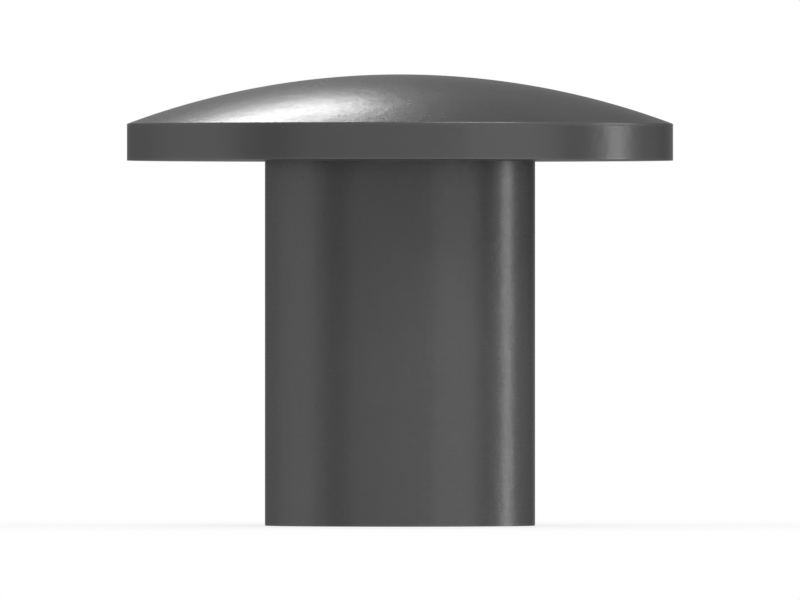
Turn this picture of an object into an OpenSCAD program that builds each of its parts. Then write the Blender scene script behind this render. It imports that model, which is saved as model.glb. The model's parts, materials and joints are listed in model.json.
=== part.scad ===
// Semi-tubular rivet with a truss head, cold-headed in one piece from steel wire.
//
// The head is a low dome on a straight rim. The plain shank ends in a blind hole,
// which leaves the tail a thin wall that the setting tool curls over the work.
//
// Frame: +Z runs along the rivet's axis and out through the dome. The origin lies on
// the axis, in the plane of the bearing face under the head. The shank hangs below it.

/* [Head] */
// Diameter across the head
head_d = 9.5; // [8:0.05:12]
// Height of the straight rim round the head
rim_h = 0.64; // [0.3:0.01:1.2]
// Rise of the dome above the rim
dome_h = 0.86; // [0.4:0.01:1.6]

/* [Shank] */
// Diameter of the shank
shank_d = 4.7; // [4.4:0.01:5.4]
// Length of the shank, from the bearing face to the end of the tail
shank_len = 6.35; // [5.6:0.05:12.7]

/* [Tail hole] */
// Diameter of the hole
hole_d = 3.55; // [3:0.05:3.9]
// Depth of the hole's straight wall, from the end of the tail
hole_depth = 4.1; // [3:0.05:4.5]
// Included angle of the hole's pointed end
point_angle = 118; // [90:1:150]
// Width of the chamfer at the hole's mouth
mouth_chamfer = 0.08; // [0.02:0.01:0.16]

/* [Edges] */
// Radius on the rim's two edges and on the tail's outer edge
edge_r = 0.02; // [0.01:0.005:0.06]
// Radius of the fillet between the shank and the bearing face
neck_r = 0.03; // [0.01:0.005:0.1]

/* [Hidden] */

// Facets of a full turn, for previews
$fn = 240;
// How far a cutting shape runs past the surface that it cuts
overcut = 0.5;

head_r = head_d / 2;
shank_r = shank_d / 2;
hole_r = hole_d / 2;
head_h = rim_h + dome_h;

// The dome is part of a sphere that passes through the crown and the rim's top edge.
dome_r = (head_r * head_r + dome_h * dome_h) / (2 * dome_h);
dome_centre = head_h - dome_r;

// Length of the cone at the hole's end
point_len = hole_r / tan(point_angle / 2);

// A half section is drawn with X as the radius and Y as the height along the axis.

// What a rounded right-angled corner loses. The corner is at the origin, with its metal
// towards -X and -Y.
module corner_waste(radius) {
    difference() {
        translate([-radius, -radius])
            square(radius + overcut);
        translate([-radius, -radius])
            circle(r = radius);
    }
}

// What the rounded edge between the rim and the dome loses. Its arc touches the rim's
// straight side and the dome's sphere.
module crown_edge_waste() {
    arc_x = head_r - edge_r;
    dome_to_arc = dome_r - edge_r;
    arc_y = dome_centre + sqrt(dome_to_arc * dome_to_arc - arc_x * arc_x);
    outward = [arc_x, arc_y - dome_centre] / dome_to_arc;
    touch_dome = [0, dome_centre] + outward * dome_r;
    past_dome = touch_dome + outward * overcut;
    difference() {
        polygon([
            [head_r, arc_y],
            [head_r + overcut, arc_y],
            [head_r + overcut, past_dome.y],
            past_dome,
            touch_dome
        ]);
        translate([arc_x, arc_y])
            circle(r = edge_r);
    }
}

module head_section() {
    difference() {
        intersection() {
            translate([0, dome_centre])
                circle(r = dome_r);
            square([head_r, head_h + overcut]);
        }
        crown_edge_waste();
        translate([head_r, 0])
            mirror([0, 1])
                corner_waste(edge_r);
    }
}

// The shank runs up inside the head to the rim's top, so that the two make one piece.
module shank_section() {
    difference() {
        translate([0, -shank_len])
            square([shank_r, shank_len + rim_h]);
        translate([shank_r, -shank_len])
            mirror([0, 1])
                corner_waste(edge_r);
    }
}

// The fillet fills the inner corner between the shank and the bearing face.
module neck_section() {
    difference() {
        translate([shank_r - neck_r, -neck_r])
            square([2 * neck_r, 2 * neck_r]);
        translate([shank_r + neck_r, -neck_r])
            circle(r = neck_r);
    }
}

module hole_section() {
    mouth_r = hole_r + mouth_chamfer;
    polygon([
        [0, -shank_len - overcut],
        [mouth_r, -shank_len - overcut],
        [mouth_r, -shank_len],
        [hole_r, -shank_len + mouth_chamfer],
        [hole_r, -shank_len + hole_depth],
        [0, -shank_len + hole_depth + point_len]
    ]);
}

module rivet() {
    color("dimgray")
        rotate_extrude()
            difference() {
                union() {
                    head_section();
                    shank_section();
                    neck_section();
                }
                hole_section();
            }
}

rivet();
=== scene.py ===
# %% [markdown]
# # A semi-tubular rivet with a truss head
#
# This rivet is one piece of steel wire. A header punches its head into a low dome on a
# straight rim, and a pin punches a blind hole into its tail. The wall left round the hole
# is thin enough for the setting tool to curl it over the work.
#
# The lesson models the rivet as the header forms it: a slug of wire first, then its head,
# then the hole in its tail, then the small radii that the dies leave. After that come the
# dark satin finish, the plain studio and the camera.

import json
import math

import bmesh
import bpy
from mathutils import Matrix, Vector


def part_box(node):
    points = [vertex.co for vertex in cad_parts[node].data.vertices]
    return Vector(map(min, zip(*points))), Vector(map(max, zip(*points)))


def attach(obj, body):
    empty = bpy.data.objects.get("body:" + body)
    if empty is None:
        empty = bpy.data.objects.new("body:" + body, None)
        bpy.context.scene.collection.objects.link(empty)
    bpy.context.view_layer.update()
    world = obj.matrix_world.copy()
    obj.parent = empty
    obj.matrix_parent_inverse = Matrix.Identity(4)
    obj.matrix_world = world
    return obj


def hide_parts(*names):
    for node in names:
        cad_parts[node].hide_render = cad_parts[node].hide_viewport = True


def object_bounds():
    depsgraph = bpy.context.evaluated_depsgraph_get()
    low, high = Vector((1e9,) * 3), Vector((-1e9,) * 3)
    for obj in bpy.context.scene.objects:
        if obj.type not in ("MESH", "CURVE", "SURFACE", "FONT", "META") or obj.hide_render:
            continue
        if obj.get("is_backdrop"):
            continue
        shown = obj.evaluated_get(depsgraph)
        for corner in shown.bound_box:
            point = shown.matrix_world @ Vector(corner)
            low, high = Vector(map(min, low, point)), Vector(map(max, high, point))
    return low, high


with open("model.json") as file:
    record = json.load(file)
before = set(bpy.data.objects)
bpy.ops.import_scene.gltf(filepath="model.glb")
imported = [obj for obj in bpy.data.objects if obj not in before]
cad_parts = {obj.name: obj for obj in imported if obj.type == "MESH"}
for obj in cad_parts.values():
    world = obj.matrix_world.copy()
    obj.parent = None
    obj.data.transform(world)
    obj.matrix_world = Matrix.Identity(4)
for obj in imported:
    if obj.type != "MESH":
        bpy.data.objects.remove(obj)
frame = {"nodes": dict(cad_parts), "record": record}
cad_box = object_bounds()
print("size in mm:", [round(1000 * side, 3) for side in cad_box[1] - cad_box[0]])

# %% [markdown]
# ## Sizes
#
# The model is in metres, and a rivet is small, so a millimetre gets a name. The overall
# sizes come from the frame's own box. The shank and the tail hole are interfaces, so their
# radii and depths come from the record's mounts. What neither of them states, such as the
# height of the rim, is written further down, at the step that needs it.

# %% Sizes from the frame
MM = 0.001

mounts = {mount["name"]: mount for mount in frame["record"]["mounts"]}
lowest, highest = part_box("rivet")

head_radius = highest.x
head_top = highest.z
tail_end = lowest.z
shank_radius = mounts["shank"]["dims"]["r_mm"] * MM
hole_radius = mounts["tail_hole"]["dims"]["r_mm"] * MM
hole_wall = mounts["tail_hole"]["dims"]["length_mm"] * MM

for name, size in (
    ("head radius", head_radius),
    ("shank radius", shank_radius),
    ("hole radius", hole_radius),
    ("hole wall", hole_wall),
):
    print(f"{name}: {size / MM:.3f} mm")

# %% [markdown]
# ## The slug of wire
#
# A rivet starts as a length of wire, cut to a slug. A cylinder with the shank's radius is
# that slug. It has enough sides that its outline stays round in a close view. The loaded
# frame is selected at the start, and operators act on all that is selected, so everything is
# deselected first.

# %% The slug of wire
SIDES = 192

bpy.ops.object.select_all(action="DESELECT")
bpy.ops.mesh.primitive_cylinder_add(
    vertices=SIDES,
    radius=shank_radius,
    depth=-tail_end,
    end_fill_type="NGON",
    location=(0, 0, tail_end / 2),
)
rivet = bpy.context.active_object
rivet.name = "rivet_steel"
rivet.data.name = "rivet_steel"
bpy.ops.object.transform_apply(location=True, rotation=True, scale=True)
print("slug:", len(rivet.data.polygons), "faces")

# %% [markdown]
# ## Opening the piece in edit mode
#
# Each shaping step opens the rivet in edit mode, selects something by its place, and closes
# it again. Edit mode keeps its last selection, so the helper that opens it also clears that,
# and it sets whether edges or faces are being selected.

# %% Opening the piece in edit mode
def select_only(piece):
    """Makes this the one selected object, and the one that operators act on."""
    bpy.ops.object.select_all(action="DESELECT")
    piece.select_set(True)
    bpy.context.view_layer.objects.active = piece


def begin_editing(piece, mode):
    """Opens the piece in edit mode with nothing selected. The mode is EDGE or FACE."""
    select_only(piece)
    bpy.ops.object.mode_set(mode="EDIT")
    bpy.ops.mesh.select_mode(type=mode)
    bpy.ops.mesh.select_all(action="DESELECT")


def finish_editing(piece, done):
    """Closes edit mode and prints what was done."""
    bpy.ops.object.mode_set(mode="OBJECT")
    print(f"{done}: {len(piece.data.polygons)} faces")


print(rivet.name, "is in", rivet.mode.lower(), "mode")

# %% [markdown]
# ## Selecting and extruding a cap
#
# The slug's two ends are round caps, and all of the head and the hole can be drawn out of
# them. A cap is found by its height and by the way it faces. Extruding it to a new radius
# and height is two operators, as by hand: extrude along Z, then scale about the axis.

# %% Selecting and extruding a cap
SNAP = 1e-7
FACES_ALONG_Z = 0.99


def select_cap(piece, height, facing):
    """Selects the flat end face at this height that faces up (1) or down (-1)."""
    mesh = bmesh.from_edit_mesh(piece.data)
    for face in mesh.faces:
        at_height = abs(face.calc_center_median().z - height) < SNAP
        face.select_set(at_height and face.normal.z * facing > FACES_ALONG_Z)
    mesh.select_flush_mode()
    bmesh.update_edit_mesh(piece.data)
    print("caps found:", sum(face.select for face in mesh.faces))


def extrude_cap(old_radius, new_radius, old_height, new_height):
    """Extrudes the selected round cap to a new radius and height."""
    bpy.ops.mesh.extrude_region_move(
        TRANSFORM_OT_translate={"value": (0, 0, new_height - old_height)}
    )
    if new_radius != old_radius:
        scale = new_radius / old_radius
        bpy.ops.transform.resize(
            value=(scale, scale, 1), center_override=(0, 0, new_height)
        )


def close_cap(old_height, apex):
    """Draws the selected cap out to one point on the axis."""
    bpy.ops.mesh.extrude_region_move(
        TRANSFORM_OT_translate={"value": (0, 0, apex - old_height)}
    )
    bpy.ops.mesh.merge(type="CENTER")


print(f"a cap within {SNAP / MM:.4f} mm of a height is at that height")

# %% [markdown]
# ## The head
#
# The header upsets the wire's top into the head. The dome is part of a sphere that passes
# through the crown and the rim's top edge, so its radius follows from how far it rises
# between them. Its rings are spaced by the angle at the sphere's centre, because equal
# angles keep every facet equally flat.

# %% The sphere of the dome
rim_height = 0.64 * MM
dome_rise = head_top - rim_height
dome_radius = (head_radius**2 + dome_rise**2) / (2 * dome_rise)
dome_centre = head_top - dome_radius
dome_edge_angle = math.asin(head_radius / dome_radius)


def dome_ring(angle):
    """The radius and height of the dome's ring at this angle from its crown."""
    return dome_radius * math.sin(angle), dome_centre + dome_radius * math.cos(angle)


print(f"dome radius {dome_radius / MM:.2f} mm")
print(f"from crown to edge {math.degrees(dome_edge_angle):.1f} degrees")

# %% [markdown]
# ## Upsetting the head
#
# The top cap is widened in its own plane, which makes the flat bearing face, and raised by
# the height of the rim. Ring after ring then follows the sphere, and the last one is closed
# to a pole at the crown.

# %% Upsetting the head
DOME_RINGS = 36

begin_editing(rivet, "FACE")
select_cap(rivet, 0, 1)
extrude_cap(shank_radius, head_radius, 0, 0)
extrude_cap(head_radius, head_radius, 0, rim_height)
radius, height = head_radius, rim_height
for step in range(1, DOME_RINGS):
    new_radius, new_height = dome_ring(dome_edge_angle * (1 - step / DOME_RINGS))
    extrude_cap(radius, new_radius, height, new_height)
    radius, height = new_radius, new_height
close_cap(height, head_top)
finish_editing(rivet, "with its head")

# %% [markdown]
# ## The hole in the tail
#
# A pin is pushed into the tail, so the hole has a straight wall, a pointed end like the
# pin's nose, and a small chamfer at its mouth. The tail's cap is narrowed in its own plane
# to leave the flat ring that the rivet stands on, narrowed again on its way up to make the
# chamfer, then pushed in and closed at the hole's apex.

# %% The hole in the tail
mouth_chamfer = 0.08 * MM
point_angle = math.radians(118)
mouth_radius = hole_radius + mouth_chamfer
chamfer_top = tail_end + mouth_chamfer
hole_end = chamfer_top + hole_wall
hole_apex = hole_end + hole_radius / math.tan(point_angle / 2)

begin_editing(rivet, "FACE")
select_cap(rivet, tail_end, -1)
extrude_cap(shank_radius, mouth_radius, tail_end, tail_end)
extrude_cap(mouth_radius, hole_radius, tail_end, chamfer_top)
extrude_cap(hole_radius, hole_radius, chamfer_top, hole_end)
close_cap(hole_end, hole_apex)
finish_editing(rivet, "with its hole")

# %% [markdown]
# ## The small radii
#
# No die has a perfectly sharp corner, and tumbling after heading takes off what is left. So
# the rim, the tail and the neck each get a bevel with a round profile. Each of these corners
# is a ring of edges, which is found by its radius and its height.

# %% Selecting a ring of edges
def select_ring(piece, radius, height):
    """Selects the ring of edges at this radius and height."""
    mesh = bmesh.from_edit_mesh(piece.data)
    for edge in mesh.edges:
        edge.select_set(
            all(
                abs(math.hypot(end.co.x, end.co.y) - radius) < SNAP
                and abs(end.co.z - height) < SNAP
                for end in edge.verts
            )
        )
    mesh.select_flush_mode()
    bmesh.update_edit_mesh(piece.data)
    print("edges found:", sum(edge.select for edge in mesh.edges))


# %% [markdown]
# ## Bevels of the right width
#
# A bevel's width is the length that it takes off each side, and that depends on how far the
# surface turns there: a round of radius r that turns by an angle t needs r tan(t / 2). The
# dome slopes down to the rim, so the surface turns by less than a right angle there.

# %% Bevels of the right width
ROUND_SEGMENTS = 5
die_radius = 0.01 * MM
neck_radius = 0.015 * MM
square = math.pi / 2

rounds = (
    ("rim's top edge", head_radius, rim_height, die_radius, square - dome_edge_angle),
    ("rim's lower edge", head_radius, 0, die_radius, square),
    ("neck", shank_radius, 0, neck_radius, square),
    ("tail's outer edge", shank_radius, tail_end, die_radius, square),
)
for name, radius, height, round_radius, turn in rounds:
    begin_editing(rivet, "EDGE")
    select_ring(rivet, radius, height)
    width = round_radius * math.tan(turn / 2)
    bpy.ops.mesh.bevel(offset=width, segments=ROUND_SEGMENTS, profile=0.5, affect="EDGES")
    finish_editing(rivet, f"{name} rounded to {round_radius / MM:.3f} mm")

# %% [markdown]
# ## Smooth faces with true normals
#
# The rivet's faces are curved, so they are shaded smooth, but its real corners stay sharp. A
# long face next to a small round would take a false tilt from it. Weighted normals let the
# large faces decide, so the dome and the rim stay true in their reflections right up to
# their edges. The modifier compares areas, and a rivet's faces are too small for it in
# square metres, so the mesh is blown up a thousandfold for that one step.

# %% Smooth faces with true normals
SHARP_ANGLE = math.radians(35)


def resize_mesh(piece, factor):
    select_only(piece)
    piece.scale = (factor, factor, factor)
    bpy.ops.object.transform_apply(location=False, rotation=False, scale=True)


select_only(rivet)
bpy.ops.object.shade_smooth_by_angle(angle=SHARP_ANGLE)
resize_mesh(rivet, 1 / MM)
weighted = rivet.modifiers.new("weighted normals", "WEIGHTED_NORMAL")
weighted.weight = 100
weighted.keep_sharp = True
bpy.ops.object.modifier_apply(modifier=weighted.name)
resize_mesh(rivet, MM)

solid = bmesh.new()
solid.from_mesh(rivet.data)
open_edges = sum(not edge.is_manifold for edge in solid.edges)
print(f"volume {solid.calc_volume(signed=True) / MM**3:.2f} mm3, {open_edges} open edges")
solid.free()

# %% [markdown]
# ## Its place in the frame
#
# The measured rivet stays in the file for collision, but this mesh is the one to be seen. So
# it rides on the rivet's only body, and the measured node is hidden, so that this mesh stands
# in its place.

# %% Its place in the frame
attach(rivet, "root")
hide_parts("rivet")
print(rivet.name, "rides on root and stands for rivet")

# %% [markdown]
# ## Shader maths
#
# A finish is a sum of small effects, and a sum reads best as one. This class wraps the
# output of a shader node, so that + - * / and ** between wrapped outputs and numbers add the
# Math nodes that do the work.

# %% Shader maths
class Wire:
    """The output of a shader node, which takes part in sums as a number does."""

    def __init__(self, recipe, socket):
        self.recipe = recipe
        self.socket = socket

    def other(self, name):
        """Another output of the same node."""
        return Wire(self.recipe, self.socket.node.outputs[name])

    def __add__(self, other):
        return self.recipe.maths("ADD", self, other)

    def __sub__(self, other):
        return self.recipe.maths("SUBTRACT", self, other)

    def __rsub__(self, other):
        return self.recipe.maths("SUBTRACT", other, self)

    def __mul__(self, other):
        return self.recipe.maths("MULTIPLY", self, other)

    def __truediv__(self, other):
        return self.recipe.maths("DIVIDE", self, other)

    def __rtruediv__(self, other):
        return self.recipe.maths("DIVIDE", other, self)

    def __pow__(self, other):
        return self.recipe.maths("POWER", self, other)

    def __rpow__(self, other):
        return self.recipe.maths("POWER", other, self)

    __radd__ = __add__
    __rmul__ = __mul__


print("wires can be used in sums with + - * / and **")

# %% [markdown]
# ## Adding nodes
#
# Any node comes from one method. It sets the node's settings first, because they can change
# which sockets the node has, and then fills the sockets with values or wires. A socket is
# named by its identifier, or by its number where several share a name.

# %% Adding nodes
class Recipe:
    """The node tree of a material or of the world, emptied and ready to be filled."""

    def __init__(self, owner):
        owner.use_nodes = True
        self.tree = owner.node_tree
        self.tree.nodes.clear()

    def node(self, kind, settings=None, inputs=None, output=0):
        """Adds a node: its settings first, then the values or wires of its sockets."""
        made = self.tree.nodes.new(kind)
        for name, value in (settings or {}).items():
            setattr(made, name, value)
        for name, value in (inputs or {}).items():
            if isinstance(name, int):
                socket = made.inputs[name]
            else:
                socket = next(s for s in made.inputs if s.identifier == name)
            if isinstance(value, Wire):
                self.tree.links.new(value.socket, socket)
            else:
                socket.default_value = value
        return Wire(self, made.outputs[output]) if made.outputs else None

    def maths(self, operation, *values):
        inputs = dict(enumerate(values))
        return self.node("ShaderNodeMath", {"operation": operation}, inputs)


steel = bpy.data.materials.new("darkened satin steel")
finish = Recipe(steel)
print("an empty recipe for", steel.name)

# %% [markdown]
# ## A place on the steel
#
# The steel is cleaned, darkened in a bath and tumbled with oil. Its finish isn't the same
# everywhere, so the shader has to know where on the rivet it is. Object coordinates are the
# mesh's own, so a pattern on them can't slide. They are turned into millimetres, the unit
# in which all the sizes below are thought of.

# %% A place on the steel
OBJECT_COORDINATES = 3

metres = finish.node("ShaderNodeTexCoord", output=OBJECT_COORDINATES)
place = finish.node(
    "ShaderNodeVectorMath", {"operation": "SCALE"}, {"Vector": metres, "Scale": 1 / MM}
)
split = finish.node("ShaderNodeSeparateXYZ", None, {"Vector": place})
x, y, z = split.other("X"), split.other("Y"), split.other("Z")
from_axis = (x * x + y * y) ** 0.5
print(f"places run from {tail_end / MM:.2f} to {head_top / MM:.2f} mm in height")

# %% [markdown]
# ## Rubbed edges
#
# Rivets rub on each other in the barrel, and the film wears thin on their corners first, so
# a narrow band along each corner is brighter. The band is a mask, which is 1 on the corner
# and falls smoothly to 0. It comes from the distance to the corner's ring, measured in the
# half section of the rivet, where that ring is a point.

# %% Rubbed edges
RUBBED_WIDTH = 0.06


def ramp(value, start, end):
    """Rises smoothly from 0 at start to 1 at end, or falls if end is the lower."""
    rise = finish.node(
        "ShaderNodeMapRange",
        {"interpolation_type": "SMOOTHSTEP"},
        {"Value": value, "From Min": min(start, end), "From Max": max(start, end)},
    )
    return rise if start < end else 1 - rise


def near_ring(ring_radius, ring_height):
    """1 on a ring of the rivet, falling to 0 a rubbed width away from it."""
    across = from_axis - ring_radius / MM
    along = z - ring_height / MM
    return ramp((across * across + along * along) ** 0.5, RUBBED_WIDTH, 0)


rubbed = (
    near_ring(head_radius, rim_height)
    + near_ring(head_radius, 0)
    + near_ring(shank_radius, tail_end)
    + near_ring(mouth_radius, tail_end)
)
print("rubbed bands reach", RUBBED_WIDTH, "mm from each corner")

# %% [markdown]
# ## Dome, shank and hole
#
# The three parts of the rivet don't have the same finish. Nothing rubs inside the hole, so it
# stays rougher and its colour is painted darker there as shade, the dome is struck by the
# punch, and the shank keeps the marks of the wire. Each gets a mask from its height or its
# distance from the axis, in millimetres.

# %% Dome, shank and hole
UNDER_HEAD = -0.05
NECK_TOP, NECK_END = -0.1, -0.7
hole_edge = hole_radius / MM
hole_border = (hole_edge + 0.03, hole_edge - 0.01)
rim_top = rim_height / MM
rim_border = (0.9 * rim_top, rim_top)

below_head = ramp(z, 0, UNDER_HEAD)
at_neck = below_head * ramp(z, NECK_END, NECK_TOP)
in_hole = below_head * ramp(from_axis, *hole_border)
on_shank = below_head * (1 - in_hole)
on_dome = ramp(z, *rim_border)
print(f"dome above {rim_top:.2f} mm, hole within {hole_edge:.3f} mm of the axis")

# %% [markdown]
# ## The way the metal flowed
#
# As the head is upset, its metal flows outwards from the axis, and the marks on the dome are
# drawn out along that way. A pattern is drawn out where its coordinates change slowly, so
# the distance from the axis is squeezed by a power of itself. On the rim and the shank the
# marks run a little round the axis, because the metal there was pressed lengthwise.

# %% The way the metal flowed
FLOW = 0.4
CROWN = 1.0
ROUND_THE_AXIS = 0.7
LENGTHWISE = 1.4

outward = (from_axis * from_axis + CROWN**2) ** 0.5 / (head_radius / MM)
squeeze = ROUND_THE_AXIS + (outward**-FLOW - ROUND_THE_AXIS) * on_dome
flow_scale = finish.node(
    "ShaderNodeCombineXYZ", None, {"X": squeeze, "Y": squeeze, "Z": LENGTHWISE}
)
flow = finish.node(
    "ShaderNodeVectorMath",
    {"operation": "MULTIPLY"},
    {"Vector": place, "Vector_001": flow_scale},
)
print("marks on the dome are drawn out", round(1 / (1 - FLOW), 1), "times")

# %% [markdown]
# ## Clouds, peel and grain
#
# Close up, such steel shows variations of several sizes. The film is cloudy over about a
# millimetre. The die leaves the metal faintly uneven over less than half of that, which makes
# a reflected line waver. Tumbling leaves an orange peel of a tenth, which breaks up the border
# of a reflection, and a finer grain. Noise textures of four scales stand for these.

# %% Clouds, peel and grain
PER_MM = {"clouds": 0.9, "uneven": 2.4, "peel": 11.0, "grain": 17.0}


def noise(places, scale, detail):
    """Soft noise about 0, from about -1 to 1, with scale features to a millimetre."""
    raw = finish.node(
        "ShaderNodeTexNoise",
        {"noise_dimensions": "3D"},
        {"Vector": places, "Scale": scale, "Detail": detail},
    )
    return (raw - 0.5) * 2


clouds = noise(place, PER_MM["clouds"], detail=3)
uneven = noise(place, PER_MM["uneven"], detail=1)
peel = noise(flow, PER_MM["peel"], detail=2)
grain = noise(place, PER_MM["grain"], detail=0)
for name, count in PER_MM.items():
    print(f"{name}: features of about {1 / count:.2f} mm")

# %% [markdown]
# ## Drawing marks
#
# Drawing the wire leaves fine marks along the shank, and short blotches between them where
# the oil was squeezed out. Both are the same noise with its coordinates stretched along the
# axis: the marks by forty times, and the blotches by about two.

# %% Drawing marks
def drawn_out(across, along, detail):
    """Noise on the shank alone, with its own count of features across and along it."""
    stretched = finish.node(
        "ShaderNodeVectorMath",
        {"operation": "MULTIPLY"},
        {"Vector": place, "Vector_001": (across, across, along)},
    )
    print(f"features of {1 / across:.2f} by {1 / along:.2f} mm")
    return noise(stretched, 1.0, detail) * on_shank


drawing = drawn_out(14.0, 0.35, detail=2)
blotches = drawn_out(9.0, 4.0, detail=0)

# %% [markdown]
# ## Pits
#
# Scale and dust on the punch's face are pressed into the dome and leave tiny pits there. A
# Voronoi texture scatters a point in each of its cells, and the distance to the nearest one
# gives a round pit. Bending the coordinates with noise first makes the pits ragged, and each
# cell's own random number leaves most of them out.

# %% Pits
CELLS_PER_MM = 5.0
PIT_REACH = 0.20
PIT_FLOOR = 0.04
PIT_CHANCE = 0.75
BEND = 0.1
BENDS_PER_MM = 12.0
NOISE_COLOUR = 1

bend = finish.node(
    "ShaderNodeTexNoise",
    {"noise_dimensions": "3D"},
    {"Vector": place, "Scale": BENDS_PER_MM, "Detail": 1.0},
    output=NOISE_COLOUR,
)
bent = finish.node(
    "ShaderNodeVectorMath",
    {"operation": "MULTIPLY_ADD"},
    {"Vector": bend, "Vector_001": (BEND, BEND, BEND), "Vector_002": place},
)
cell = finish.node(
    "ShaderNodeTexVoronoi", {"feature": "F1"}, {"Vector": bent, "Scale": CELLS_PER_MM}
)
chance = finish.node("ShaderNodeSeparateColor", None, {"Color": cell.other("Color")})
pits = ramp(cell, PIT_REACH, PIT_FLOOR) * ramp(chance, PIT_CHANCE, 1.0) * on_dome
print(f"pits in {1 - PIT_CHANCE:.0%} of the cells")
print(f"the widest reaches {PIT_REACH / CELLS_PER_MM:.2f} mm from its middle")

# %% [markdown]
# ## The film's colour
#
# The bath leaves a dark grey film on the steel. It is a little uneven, brighter where the
# corners are rubbed and darker in the pits. Inside the hole it is painted darker still, as
# shade. The masks and the noises are added up as shares of that one grey, so each can be
# read and changed on its own.

# %% The film's colour
FILM_GREY = 0.0883
RUBBED_BRIGHTER = 0.20

grey = FILM_GREY * (
    1
    + 0.05 * clouds
    + 0.02 * peel
    + 0.02 * drawing
    + 0.02 * grain
    + RUBBED_BRIGHTER * rubbed
    - 0.10 * pits
    # painted shade: the film is darkened inside the hole, where shade falls
    - 0.25 * in_hole
)
print(f"film: {FILM_GREY}, and {(1 + RUBBED_BRIGHTER) * FILM_GREY:.3f} where it is rubbed")

# %% [markdown]
# ## How smooth it is
#
# Tumbling burnishes the high spots of the steel, so they mirror the room with a soft blur.
# How strong the blur is varies with the orange peel and the grain, which gives a reflection
# its ragged border. On the shank the blotches break up the bright line in the same way.

# %% How smooth it is
POLISHED = 0.253

polish = (
    POLISHED
    + 0.01 * clouds
    + 0.04 * peel
    + 0.012 * grain
    + 0.03 * blotches
    - 0.02 * rubbed
    + 0.06 * pits
    + 0.08 * in_hole
)
print("polished to a roughness of", POLISHED)

# %% [markdown]
# ## The relief
#
# The heights below are in millimetres. They are only a few thousandths, too little for the
# mesh, so a Bump node tilts the normals instead. The dome is struck by the smooth face of the
# punch, so it has less relief than the rest, and so has the neck, where the die grips the
# wire hardest.

# %% The relief
SMOOTH_DOME = 0.4
SMOOTH_NECK = 0.75

relief = (1 - SMOOTH_NECK * at_neck) * (
    (1 - SMOOTH_DOME * on_dome) * (0.0026 * uneven + 0.001 * peel)
    + 0.0003 * grain
    + 0.0001 * drawing
    - 0.0006 * pits
)
bump = finish.node("ShaderNodeBump", None, {"Strength": 1.0, "Distance": MM, "Height": relief})
print(f"the neck keeps {1 - SMOOTH_NECK:.0%} of the relief, the dome {1 - SMOOTH_DOME:.0%}")

# %% [markdown]
# ## Two metals in one
#
# The coarser darkened skin between the burnished spots scatters light widely, so two metal
# shaders of one colour are mixed. Their edge tint is lowered, because the thin oxide film
# keeps the metal dark even where light grazes it.

# %% Two metals in one
COARSE = 0.89
COARSE_SHARE = 0.37
EDGE_TINT = 0.45


def metal(roughness):
    """A metal of the film's colour with this roughness."""
    return finish.node(
        "ShaderNodeBsdfPrincipled",
        {"distribution": "MULTI_GGX"},
        {
            "Base Color": grey,
            "Metallic": 1.0,
            "Roughness": roughness,
            "Specular Tint": (EDGE_TINT, EDGE_TINT, EDGE_TINT, 1),
            "Normal": bump,
        },
    )


burnished, skin = metal(polish), metal(COARSE)
mixed = finish.node("ShaderNodeMixShader", None, {0: COARSE_SHARE, 1: burnished, 2: skin})
finish.node("ShaderNodeOutputMaterial", None, {"Surface": mixed})
print(f"{steel.name}: {1 - COARSE_SHARE:.0%} burnished, {len(steel.node_tree.nodes)} nodes")

# %% [markdown]
# ## Putting the finish on
#
# The new mesh has one slot for its one finish. The measured rivet is hidden, but it gets the
# same steel, so that it matches wherever it is shown.

# %% Putting the finish on
rivet.data.materials.clear()
rivet.data.materials.append(steel)
for material_slot in frame["nodes"]["rivet"].material_slots:
    material_slot.material = steel
print("finish on", rivet.name + ":", [material.name for material in rivet.data.materials])

# %% [markdown]
# ## The white room
#
# The background is plain white. The world shows itself at a strength of 1 to the camera and
# to mirrors and glass, so the satin steel mirrors a bright room. What it gives as plain light
# is a little less. The Light Path node tells these kinds of ray apart.

# %% The white room
ROOM_LIGHT = 0.9


def looked_at(recipe):
    """1 for rays of the camera, of mirrors and of glass, and 0 for plain light."""
    ray = recipe.node("ShaderNodeLightPath")
    camera, glossy, through = (
        ray.other(f"Is {kind} Ray") for kind in ("Camera", "Glossy", "Transmission")
    )
    return recipe.maths("MINIMUM", camera + glossy + through, 1.0)


def white_room():
    world = bpy.data.worlds.new("white room")
    bpy.context.scene.world = world
    room = Recipe(world)
    light, backdrop = (
        room.node("ShaderNodeBackground", None, {"Color": (1, 1, 1, 1), "Strength": strength})
        for strength in (ROOM_LIGHT, 1.0)
    )
    mixed = room.node("ShaderNodeMixShader", None, {0: looked_at(room), 1: light, 2: backdrop})
    room.node("ShaderNodeOutputWorld", None, {"Surface": mixed})
    print(f"{world.name}: lights with {ROOM_LIGHT}, looks like 1.0")


white_room()

# %% [markdown]
# ## Matt paper
#
# The rivet stands on matt white paper. Paper sends back less light than falls on it, so a
# part of it glows for the camera, just enough to meet the white behind it, and the rest
# keeps the rivet's soft shadow. From below the paper is clear, so the hole can be looked into.

# %% Matt paper
PAPER_GREY = 0.8
PAPER_GLOW = 0.6
BACKFACING = 6


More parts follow.
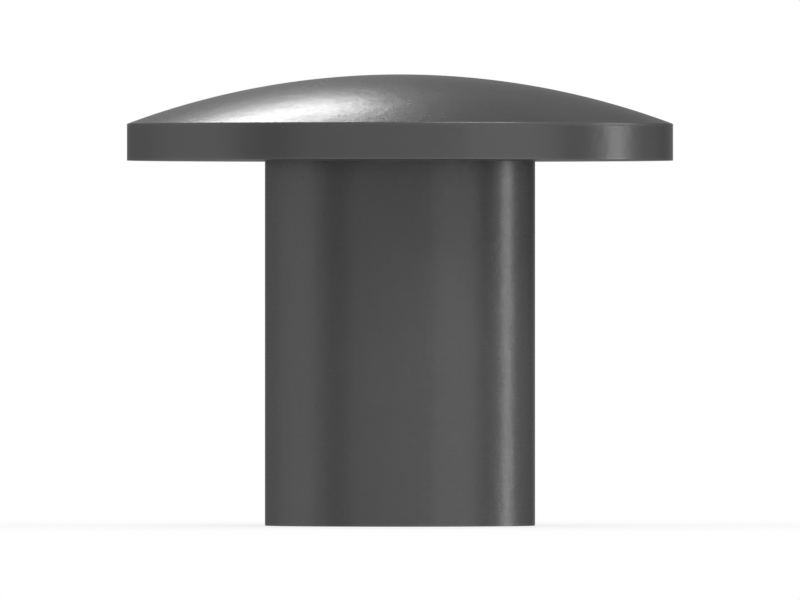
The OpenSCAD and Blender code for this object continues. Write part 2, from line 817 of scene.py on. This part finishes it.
def matt_paper():
    paper = bpy.data.materials.new("matt paper")
    sheet = Recipe(paper)
    matt = sheet.node(
        "ShaderNodeBsdfDiffuse", None, {"Color": (PAPER_GREY, PAPER_GREY, PAPER_GREY, 1)}
    )
    white_glow = (1 - (1 - PAPER_GLOW) * PAPER_GREY * ROOM_LIGHT) / PAPER_GLOW
    glow = sheet.node("ShaderNodeEmission", None, {"Strength": white_glow})
    share = looked_at(sheet) * PAPER_GLOW
    paper_seen = sheet.node("ShaderNodeMixShader", None, {0: share, 1: matt, 2: glow})
    clear = sheet.node("ShaderNodeBsdfTransparent")
    below = sheet.node("ShaderNodeNewGeometry", output=BACKFACING)
    mixed = sheet.node("ShaderNodeMixShader", None, {0: below, 1: paper_seen, 2: clear})
    sheet.node("ShaderNodeOutputMaterial", None, {"Surface": mixed})
    print(f"{paper.name}: {PAPER_GLOW:.0%} of it glows at {white_glow:.3f}")
    return paper


# %% [markdown]
# ## The floor
#
# The paper is a round sheet far wider than the rivet. It lies a hair below the tail, so that
# the two faces don't fight for the same place, and it is hidden from the metal, which would
# otherwise mirror its edge.

# %% The floor
FLOOR_SIDES = 96
FLOOR_RADIUS = 60 * MM
FLOOR_GAP = 0.004 * MM

bpy.ops.object.select_all(action="DESELECT")
bpy.ops.mesh.primitive_circle_add(
    vertices=FLOOR_SIDES,
    radius=FLOOR_RADIUS,
    fill_type="NGON",
    location=(0, 0, tail_end - FLOOR_GAP),
)
floor = bpy.context.active_object
floor.name = "floor"
bpy.ops.object.transform_apply(location=True, rotation=True, scale=True)
floor.data.materials.append(matt_paper())
floor.visible_glossy = False
floor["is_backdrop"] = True
print(f"floor: {2 * FLOOR_RADIUS / MM:.0f} mm across at {(tail_end - FLOOR_GAP) / MM:.3f} mm")

# %% [markdown]
# ## Panels round the rivet
#
# Satin metal is drawn by what it mirrors, so each panel of light or shade has to stand where
# the rivet shows it. It is easiest to think of that as a direction and a size in degrees, as
# seen from the rivet. A few helpers turn those into a place, a turn and sides in metres.

# %% Panels round the rivet
PANEL_DISTANCE = 1.0
middle = (cad_box[0] + cad_box[1]) / 2


def place_facing(panel, turn, rise, roll=0):
    """Puts a panel where these degrees say, facing the rivet.

    Turn 0 is the camera's side and 90 the right. Roll turns the panel in its own plane.
    """
    turn, rise = math.radians(turn), math.radians(rise)
    level = math.cos(rise)
    direction = Vector((math.sin(turn) * level, -math.cos(turn) * level, math.sin(rise)))
    panel.location = middle + direction * PANEL_DISTANCE
    panel.rotation_euler = direction.to_track_quat("Z", "Y").to_euler()
    panel.rotation_euler.rotate_axis("Z", math.radians(roll))


def sides_of(wide, high):
    """The sides of a panel that spans these degrees as seen from the rivet."""
    return [2 * PANEL_DISTANCE * math.tan(math.radians(side / 2)) for side in (wide, high)]


print(f"a panel 10 degrees wide is {sides_of(10, 10)[0]:.3f} m wide")

# %% [markdown]
# ## The lamps
#
# A level view of a round shank mirrors the room at twice the angle of its surface. The tall
# strip to the right, a little behind, makes the bright line down the shank and the rim. The
# soft box behind and above makes the white patch on the dome, and wide weak panels keep the
# shank from looking flat.

# %% The lamps
def soft_box(name, turn, rise, wide, high, brightness, roll=0):
    """A lamp of this width and height in degrees, and this brightness as mirrored."""
    bpy.ops.object.light_add(type="AREA")
    lamp = bpy.context.active_object
    lamp.name = name
    lamp.data.shape = "RECTANGLE"
    lamp.data.size, lamp.data.size_y = sides_of(wide, high)
    lamp.data.energy = brightness * math.pi * lamp.data.size * lamp.data.size_y
    place_facing(lamp, turn, rise, roll)
    lamp.visible_camera = False
    lamp.visible_diffuse = False
    print(f"{name}: {lamp.data.energy:.4f} W")


soft_box("box behind the dome", 188.6, 33.8, 11.2, 7.1, 50.5, roll=4.8)
soft_box("strip at the right", 104.7, -2, 13.4, 24.7, 3.5)
soft_box("key in front", 36.1, 41.6, 34.3, 23.6, 16.8, roll=2.6)
soft_box("fill at the right", 47.9, 12, 39.2, 37.8, 0.36)
soft_box("fill at the left", 247.1, -1, 69.4, 38, 0.33)

# %% [markdown]
# ## The grey cards
#
# A bright room alone would leave the shank pale and flat. Grey cards at the sides and behind
# give it its darker bands. A grey that doesn't depend on the lamps is a plain emission. Only
# the metal sees the cards: they cast no shadow, and the camera looks through them.

# %% The grey cards
def grey_card(name, turn, rise, wide, high, brightness):
    """A card that only the metal sees, at this share of the room's white."""
    bpy.ops.object.select_all(action="DESELECT")
    bpy.ops.mesh.primitive_plane_add(size=1)
    card = bpy.context.active_object
    card.name = name
    card.scale = (*sides_of(wide, high), 1)
    place_facing(card, turn, rise)
    bpy.ops.object.transform_apply(location=True, rotation=True, scale=True)
    paint = bpy.data.materials.new(name)
    coat = Recipe(paint)
    glow = coat.node("ShaderNodeEmission", None, {"Strength": brightness})
    coat.node("ShaderNodeOutputMaterial", None, {"Surface": glow})
    card.data.materials.append(paint)
    card.visible_camera = False
    card.visible_diffuse = False
    card.visible_shadow = False
    card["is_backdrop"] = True
    print(f"{name}: {brightness} of the room's white")


grey_card("card behind", 174.7, -0.3, 60.9, 44.4, 0.47)
grey_card("card at the left", -55.6, 0.5, 22.2, 63.6, 0.69)
grey_card("card at the right", 79.6, -0.6, 11.7, 61, 0.64)

# %% [markdown]
# ## The camera
#
# The rivet is seen from the side, level with its middle, through a very long lens from far
# off, so that its outline is nearly that of a drawing. How far off follows from the lens and
# from how wide the head is to be in the image. All sizes of the image are in pixels, and
# those of the lens and the sensor in millimetres.

# %% The camera
IMAGE_WIDTH = 800
HEAD_WIDTH = 546.1
SENSOR = 36
LENS = 1250

bpy.ops.object.camera_add()
camera = bpy.context.active_object
camera.name = "camera"
camera.data.sensor_width = SENSOR
camera.data.lens = LENS
view_width = 2 * head_radius * IMAGE_WIDTH / HEAD_WIDTH
distance = view_width * LENS / SENSOR
camera.location = (0, -distance, middle.z)
camera.rotation_euler = (math.pi / 2, 0, 0)
camera.data.clip_start = distance / 10
camera.data.clip_end = distance * 10
bpy.context.scene.camera = camera
bpy.context.scene.view_settings.view_transform = "Standard"
print(f"camera {distance / MM:.0f} mm away, its view {view_width / MM:.1f} mm wide")

# %% [markdown]
# ## The finished size
#
# The box of the loaded rivet and the box of the finished one are compared, and the largest
# difference is printed, to show that the looks haven't changed its size.

# %% The finished size
bpy.context.view_layer.update()
made_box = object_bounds()

corners = zip((*cad_box[0], *cad_box[1]), (*made_box[0], *made_box[1]))
furthest = max(abs(cad - made) for cad, made in corners)
print(f"the two boxes differ by {furthest / MM:.4f} mm at most")
